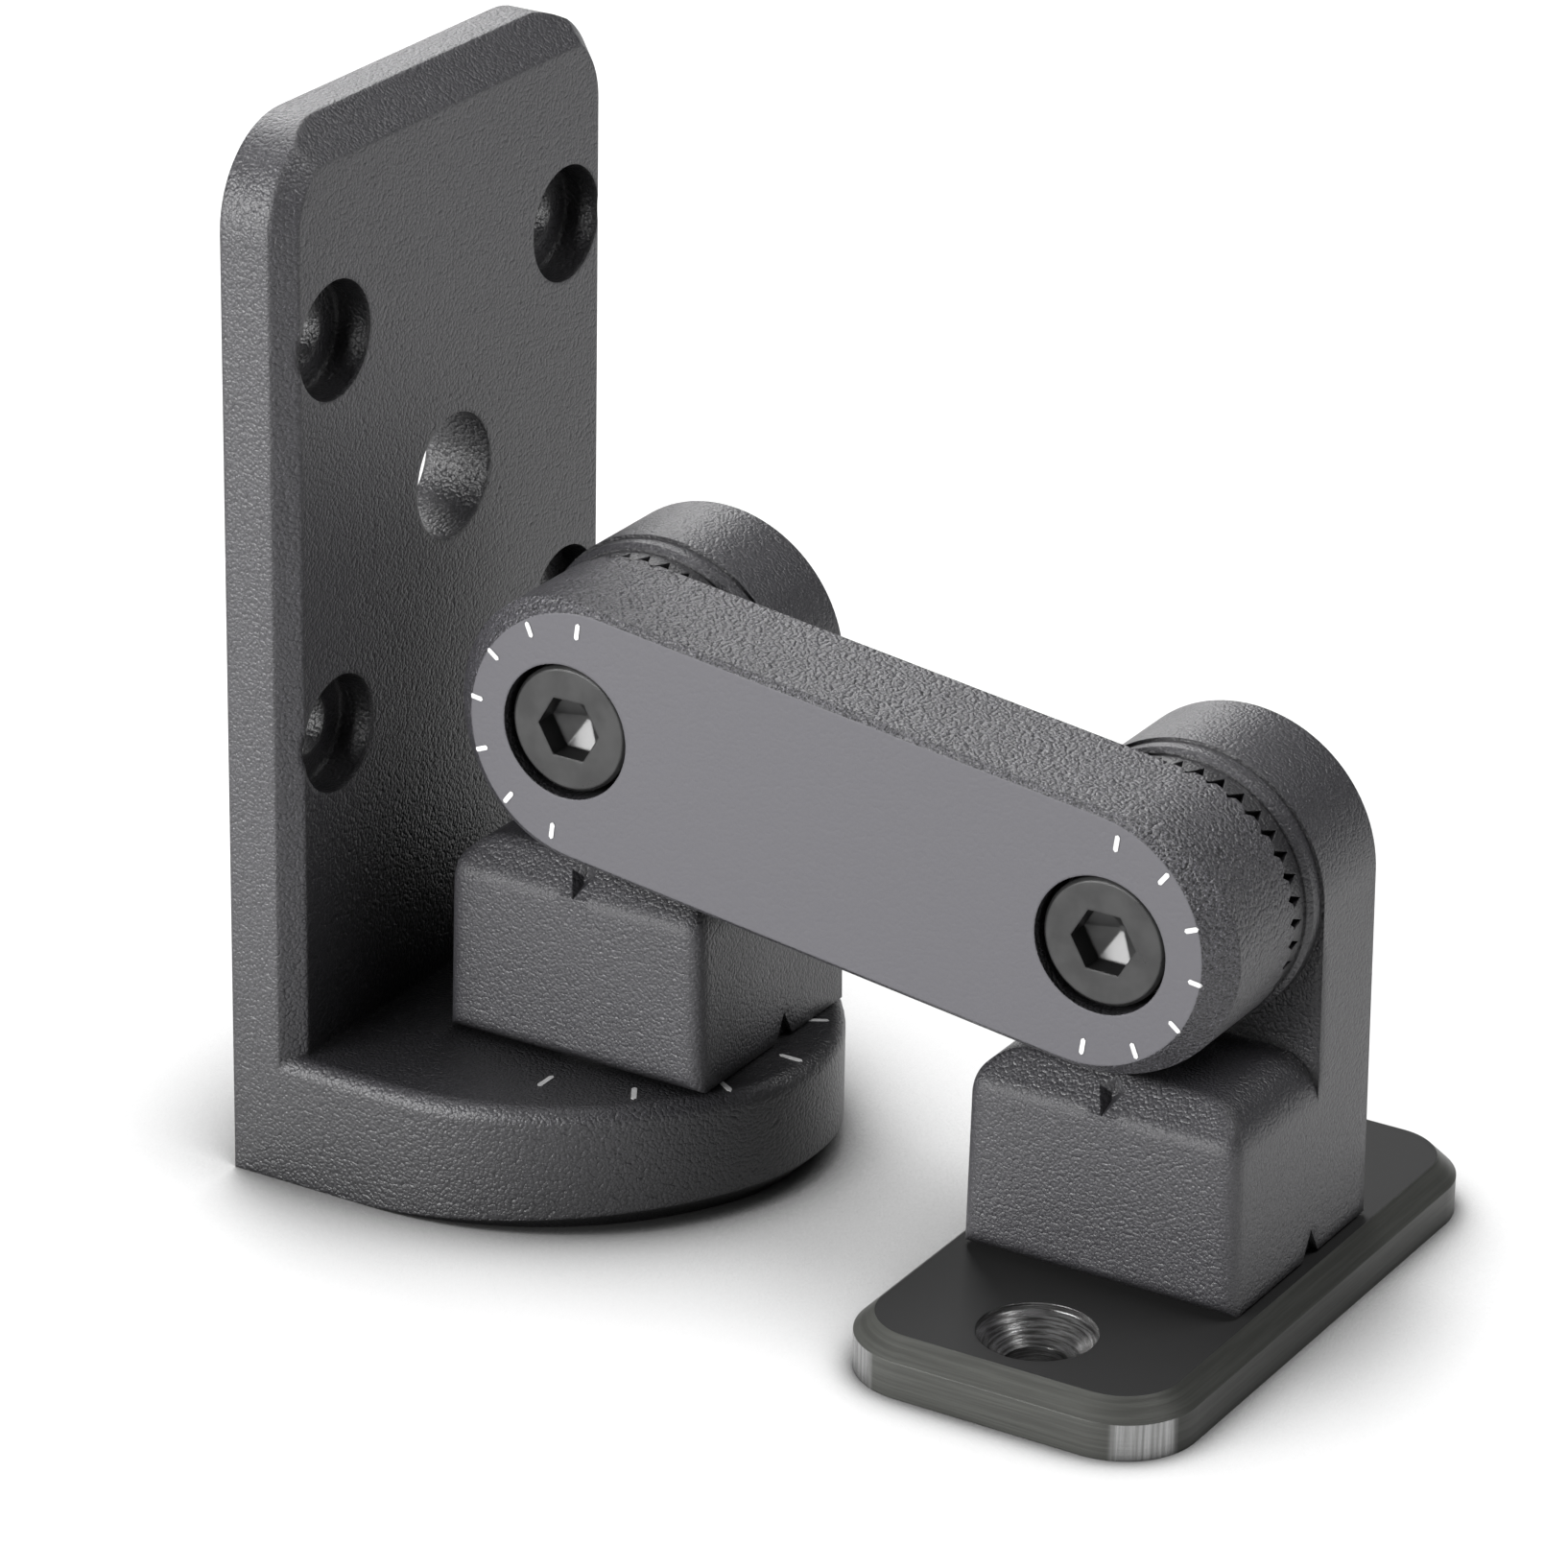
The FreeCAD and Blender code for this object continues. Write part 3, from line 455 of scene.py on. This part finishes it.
def print_marks():
    """Angle marks on the arm's two ends and on the shelf round the swivel."""
    front = Vector((ARM_FRONT, 0, 0))
    sizes = (10.0 * MM, 11.8 * MM, 0.5 * MM, 0.8 * MM)
    ahead, behind = range(-90, 91, 30), range(90, 271, 30)
    marks = radial_strokes(WALL_AXIS + front, ARM_ALONG, ARM_UP, behind, *sizes)
    marks += radial_strokes(SPEAKER_AXIS + front, ARM_ALONG, ARM_UP, ahead, *sizes)
    print_strokes("arm_angle_marks", marks, "arm", Vector((1, 0, 0)),
                  print_paint("white_ink", 0.86), "link")
    dial = radial_strokes(SHELF_DIAL, Vector((0, -1, 0)), Vector((1, 0, 0)),
                          ahead, 16.3 * MM, 19.0 * MM, 0.55 * MM)
    print_strokes("shelf_angle_marks", dial, "wall_plate", Vector((0, 0, -1)),
                  print_paint("grey_ink", 0.6), "wall_bracket")


def dress(names, material):
    for name in names:
        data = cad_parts[name].data
        data.materials.clear()
        data.materials.append(material)


def dress_solids():
    """Give every solid its finish."""
    # The wall plate's long shade reach paints shade over its inner corner round the arm and shelf
    dress(["wall_plate"],
          powder_coat("wall_coat", 0.043, 2700, 0.075 * MM, 0.7 * MM,
                      swell=0.15, painted_glint=0.3, painted_grain_shading=0.3, shade=38 * MM))
    for yoke, axis in (("wall_yoke", WALL_AXIS), ("speaker_yoke", SPEAKER_AXIS)):
        dress([yoke],
              powder_coat(yoke + "_coat", 0.04, 2900, 0.055 * MM, 2.0 * MM,
                          swell=0.25, painted_glint=0.25, painted_grain_shading=0.3, axis=axis))
    dress(["arm"],
          powder_coat("arm_coat", 0.047, 2300, 0.12 * MM, 0.3 * MM,
                      swell=0.5, painted_glint=0.5, painted_grain_shading=0.8, lit_front_level=0.096))
    dress(["speaker_plate"], anodised("machined_black"))
    dress(["wall_tilt_screw", "speaker_tilt_screw", "wall_swivel_screw",
           "speaker_swivel_screw"], black_oxide("black_oxide"))
    dress(["wall_tilt_nut", "speaker_tilt_nut", "wall_swivel_washer"],
          plated("zinc_plate", 0.55, 0.3))
    dress(["wall_tilt_spring", "speaker_tilt_spring", "wall_swivel_lock_washer"],
          plated("spring_steel", 0.32, 0.35))
    dress(["wall_swivel_disc", "speaker_swivel_disc"], nylon("black_nylon"))


def make_camera():
    """Camera where the photograph was taken."""
    turn, tilt, roll = map(math.radians, (CAMERA_TURN, CAMERA_TILT, CAMERA_ROLL))
    back = Vector((math.sin(turn) * math.cos(tilt), -math.cos(turn) * math.cos(tilt),
                   math.sin(tilt)))
    right = Vector((math.cos(turn), math.sin(turn), 0))
    up = back.cross(right)
    across = right * math.cos(roll) + up * math.sin(roll)
    rise = up * math.cos(roll) - right * math.sin(roll)
    data = bpy.data.cameras.new("camera")
    data.lens = FOCAL_LENGTH / PICTURE_WIDTH * SENSOR
    data.sensor_width = SENSOR
    data.shift_x = MIDDLE_SHIFT / PICTURE_WIDTH
    data.clip_start = CLIP_NEAR
    data.clip_end = CLIP_FAR
    item = bpy.data.objects.new("camera", data)
    place = Matrix((across, rise, back)).transposed().to_4x4()
    place.translation = Vector(CAMERA_PLACE) * MM
    item.matrix_world = place
    bpy.context.scene.collection.objects.link(item)
    bpy.context.scene.camera = item


def make_lights():
    """Rectangular studio lamps, each pointed at a spot."""
    for name, place, aim, size, power in LAMPS:
        data = bpy.data.lights.new(name, "AREA")
        data.shape = "RECTANGLE"
        data.size, data.size_y = size
        data.energy = power
        item = bpy.data.objects.new(name, data)
        item.location = place
        item.rotation_euler = (Vector(aim) - Vector(place)).to_track_quat("-Z", "Y").to_euler()
        bpy.context.scene.collection.objects.link(item)


def make_world():
    """Dim, even studio walls."""
    world = bpy.data.worlds.new("studio")
    bpy.context.scene.world = world
    world.use_nodes = True
    tree = world.node_tree
    tree.nodes.clear()
    out = tree.nodes.new("ShaderNodeOutputWorld")
    glow = tree.nodes.new("ShaderNodeBackground")
    glow.inputs["Color"].default_value = WALL_COLOUR
    glow.inputs["Strength"].default_value = WALL_GLOW
    tree.links.new(glow.outputs[0], out.inputs["Surface"])


def make_floor():
    """Wide floor that looks white from the camera, keeps the object's shadow and has painted
    shadow round it.
    """
    mesh = bmesh.new()
    bmesh.ops.create_grid(mesh, x_segments=1, y_segments=1, size=FLOOR_REACH)
    data = bpy.data.meshes.new("floor")
    mesh.to_mesh(data)
    mesh.free()
    item = bpy.data.objects.new("floor", data)
    item.location.z = FLOOR - FLOOR_GAP
    bpy.context.scene.collection.objects.link(item)
    shader = Shader("floor_white")
    paper = shader.mix(shader.noise(4, 2.0), grey(0.38), grey(0.41))
    # Painted shadow: floor colour and glow darken near the object, leaning so it falls towards the
    # front left
    clear = shader.span(shader.opening(PAINTED_SHADOW_REACH, 6, PAINTED_SHADOW_LEAN), 0.4, 0.98)
    path = shader.add("ShaderNodeLightPath")
    seen = shader.most(path.outputs["Is Camera Ray"], path.outputs["Is Glossy Ray"])
    seen = shader.most(seen, path.outputs["Is Transmission Ray"])
    shader.set(Base_Color=shader.mix(clear, grey(0.02), paper), Roughness=0.9,
               Emission_Color=(1, 1, 1, 1),
               Emission_Strength=shader.times(shader.times(seen, clear), FLOOR_GLOW))
    data.materials.append(shader.material)


bpy.context.scene.view_settings.view_transform = "Standard"
dress_solids()
print_marks()
make_camera()
make_lights()
make_world()
make_floor()
